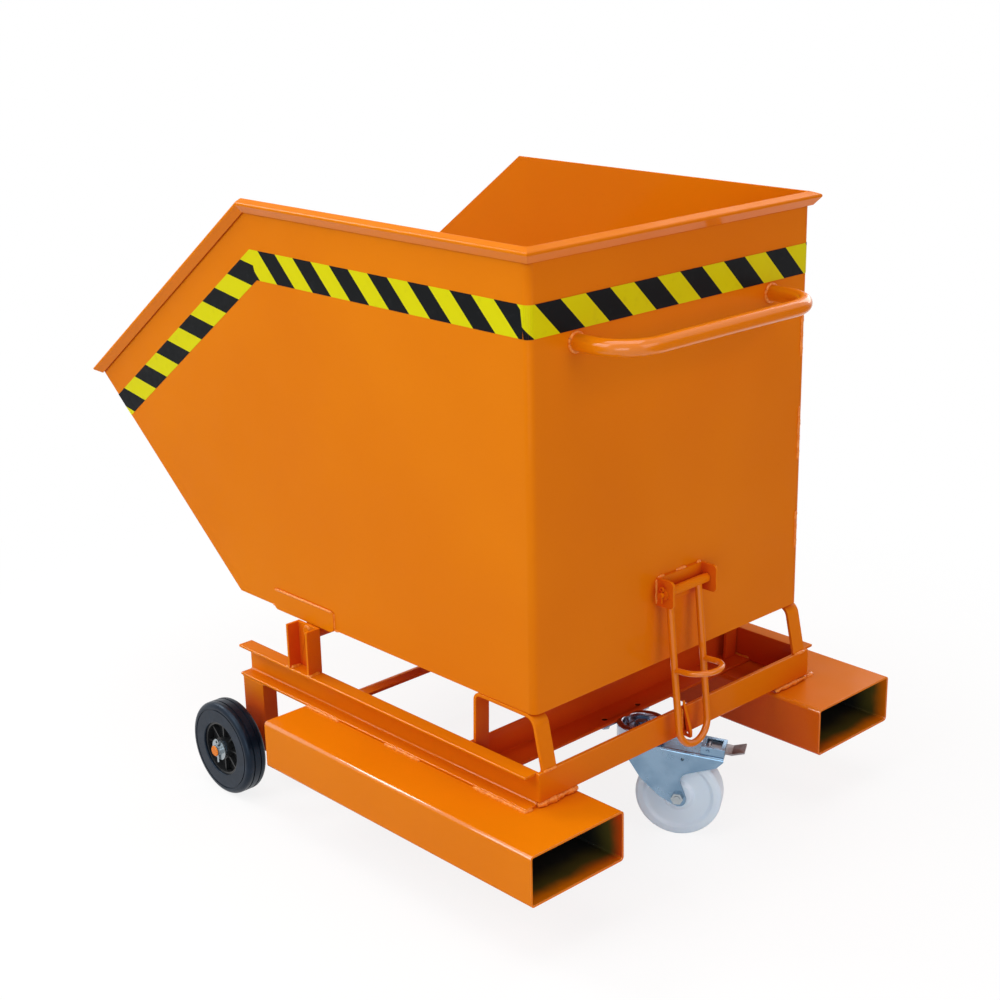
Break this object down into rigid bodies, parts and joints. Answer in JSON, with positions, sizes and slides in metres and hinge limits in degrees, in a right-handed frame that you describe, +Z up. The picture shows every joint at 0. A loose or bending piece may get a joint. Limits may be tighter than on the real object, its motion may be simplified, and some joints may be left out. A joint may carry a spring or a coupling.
{
  "type": "tipping box trolley",
  "caption": "Tipping box trolley: folded sheet box hinged on a fork-pocket chassis, with front wheels, a braked rear caster, a push handle and a bail latch.",
  "frame": {"origin": "on the floor, under the middle of the trolley's overall length and width", "axes": "+X forward to the tipping lip, +Y to the trolley's left, +Z up"},
  "size_m": [1.331, 0.9172, 1.0786],
  "materials": {
    "orange_paint": "semi-gloss powder coat",
    "zinc_steel": "bright zinc plate",
    "tyre_rubber": "matt",
    "black_plastic": "matt moulded",
    "white_nylon": "satin"
  },
  "bodies": {
    "chassis": {"frame_channel_left": "orange_paint", "frame_channel_right": "orange_paint", "fork_pocket_left": "orange_paint", "fork_pocket_right": "orange_paint", "rear_cross_bar": "orange_paint", "cross_angle": "orange_paint", "mid_cross_bar": "orange_paint", "pivot_upright_left": "orange_paint", "pivot_upright_right": "orange_paint", "pivot_shaft": "orange_paint", "pivot_washers": "orange_paint", "front_post_left": "orange_paint", "front_post_right": "orange_paint", "front_axle": "orange_paint", "axle_spacers": "orange_paint", "axle_washers": "zinc_steel", "axle_split_pins": "zinc_steel", "rest_loop_left": "orange_paint", "rest_loop_right": "orange_paint", "latch_catch": "orange_paint", "caster_head": "zinc_steel", "caster_head_bolts": "zinc_steel", "caster_kingpin": "zinc_steel", "caster_kingpin_nut": "zinc_steel"},
    "box": {"left_rear_wall": "orange_paint", "right_wall": "orange_paint", "floor_front_sheet": "orange_paint", "rim_left": "orange_paint", "rim_rear": "orange_paint", "rim_right": "orange_paint", "pivot_plate_left": "orange_paint", "pivot_plate_right": "orange_paint", "pivot_tube": "orange_paint", "push_handle": "orange_paint", "latch_bracket": "orange_paint", "latch_pin": "orange_paint", "latch_washers": "orange_paint", "latch_split_pin": "orange_paint"},
    "latch": {"latch_bail": "orange_paint", "latch_sleeve": "orange_paint", "pull_ring": "orange_paint"},
    "wheel_left": {"tyre_left": "tyre_rubber", "wheel_rim_left": "black_plastic", "wheel_bush_left": "zinc_steel"},
    "wheel_right": {"tyre_right": "tyre_rubber", "wheel_rim_right": "black_plastic", "wheel_bush_right": "zinc_steel"},
    "caster": {"caster_fork": "zinc_steel", "swivel_bearing": "zinc_steel", "caster_wheel_bolt": "zinc_steel", "caster_wheel_nut": "zinc_steel", "brake_housing": "zinc_steel", "brake_pin": "zinc_steel"},
    "caster_wheel": {"caster_wheel": "white_nylon", "caster_wheel_bush": "zinc_steel"},
    "brake_pedal": {"brake_pedal": "zinc_steel"}
  },
  "joints": [
    {"name": "box_tip", "type": "hinge", "parent": "chassis", "child": "box", "pos_m": [0.01401, 0, 0.3298], "axis": [0, 1, 0], "range_deg": [0, 50]},
    {"name": "latch_swing", "type": "hinge", "parent": "box", "child": "latch", "pos_m": [-0.56599, 0, 0.47465], "axis": [0, 1, 0], "range_deg": [-3.2, 100]},
    {"name": "wheel_left_spin", "type": "hinge", "parent": "chassis", "child": "wheel_left", "pos_m": [0.15701, 0.424, 0.0875], "axis": [0, 1, 0], "continuous": true},
    {"name": "wheel_right_spin", "type": "hinge", "parent": "chassis", "child": "wheel_right", "pos_m": [0.15701, -0.424, 0.0875], "axis": [0, 1, 0], "continuous": true},
    {"name": "caster_swivel", "type": "hinge", "parent": "chassis", "child": "caster", "pos_m": [-0.47499, 0, 0.175], "axis": [0, 0, 1], "continuous": true},
    {"name": "caster_wheel_spin", "type": "hinge", "parent": "caster", "child": "caster_wheel", "pos_m": [-0.5315, -0.036, 0.075], "axis": [-0.5373, 0.8434, 0], "continuous": true},
    {"name": "brake_pedal_tilt", "type": "hinge", "parent": "caster", "child": "brake_pedal", "pos_m": [-0.57374, -0.06291, 0.16571], "axis": [-0.5373, 0.8434, 0], "range_deg": [-10, 0]}
  ]
}
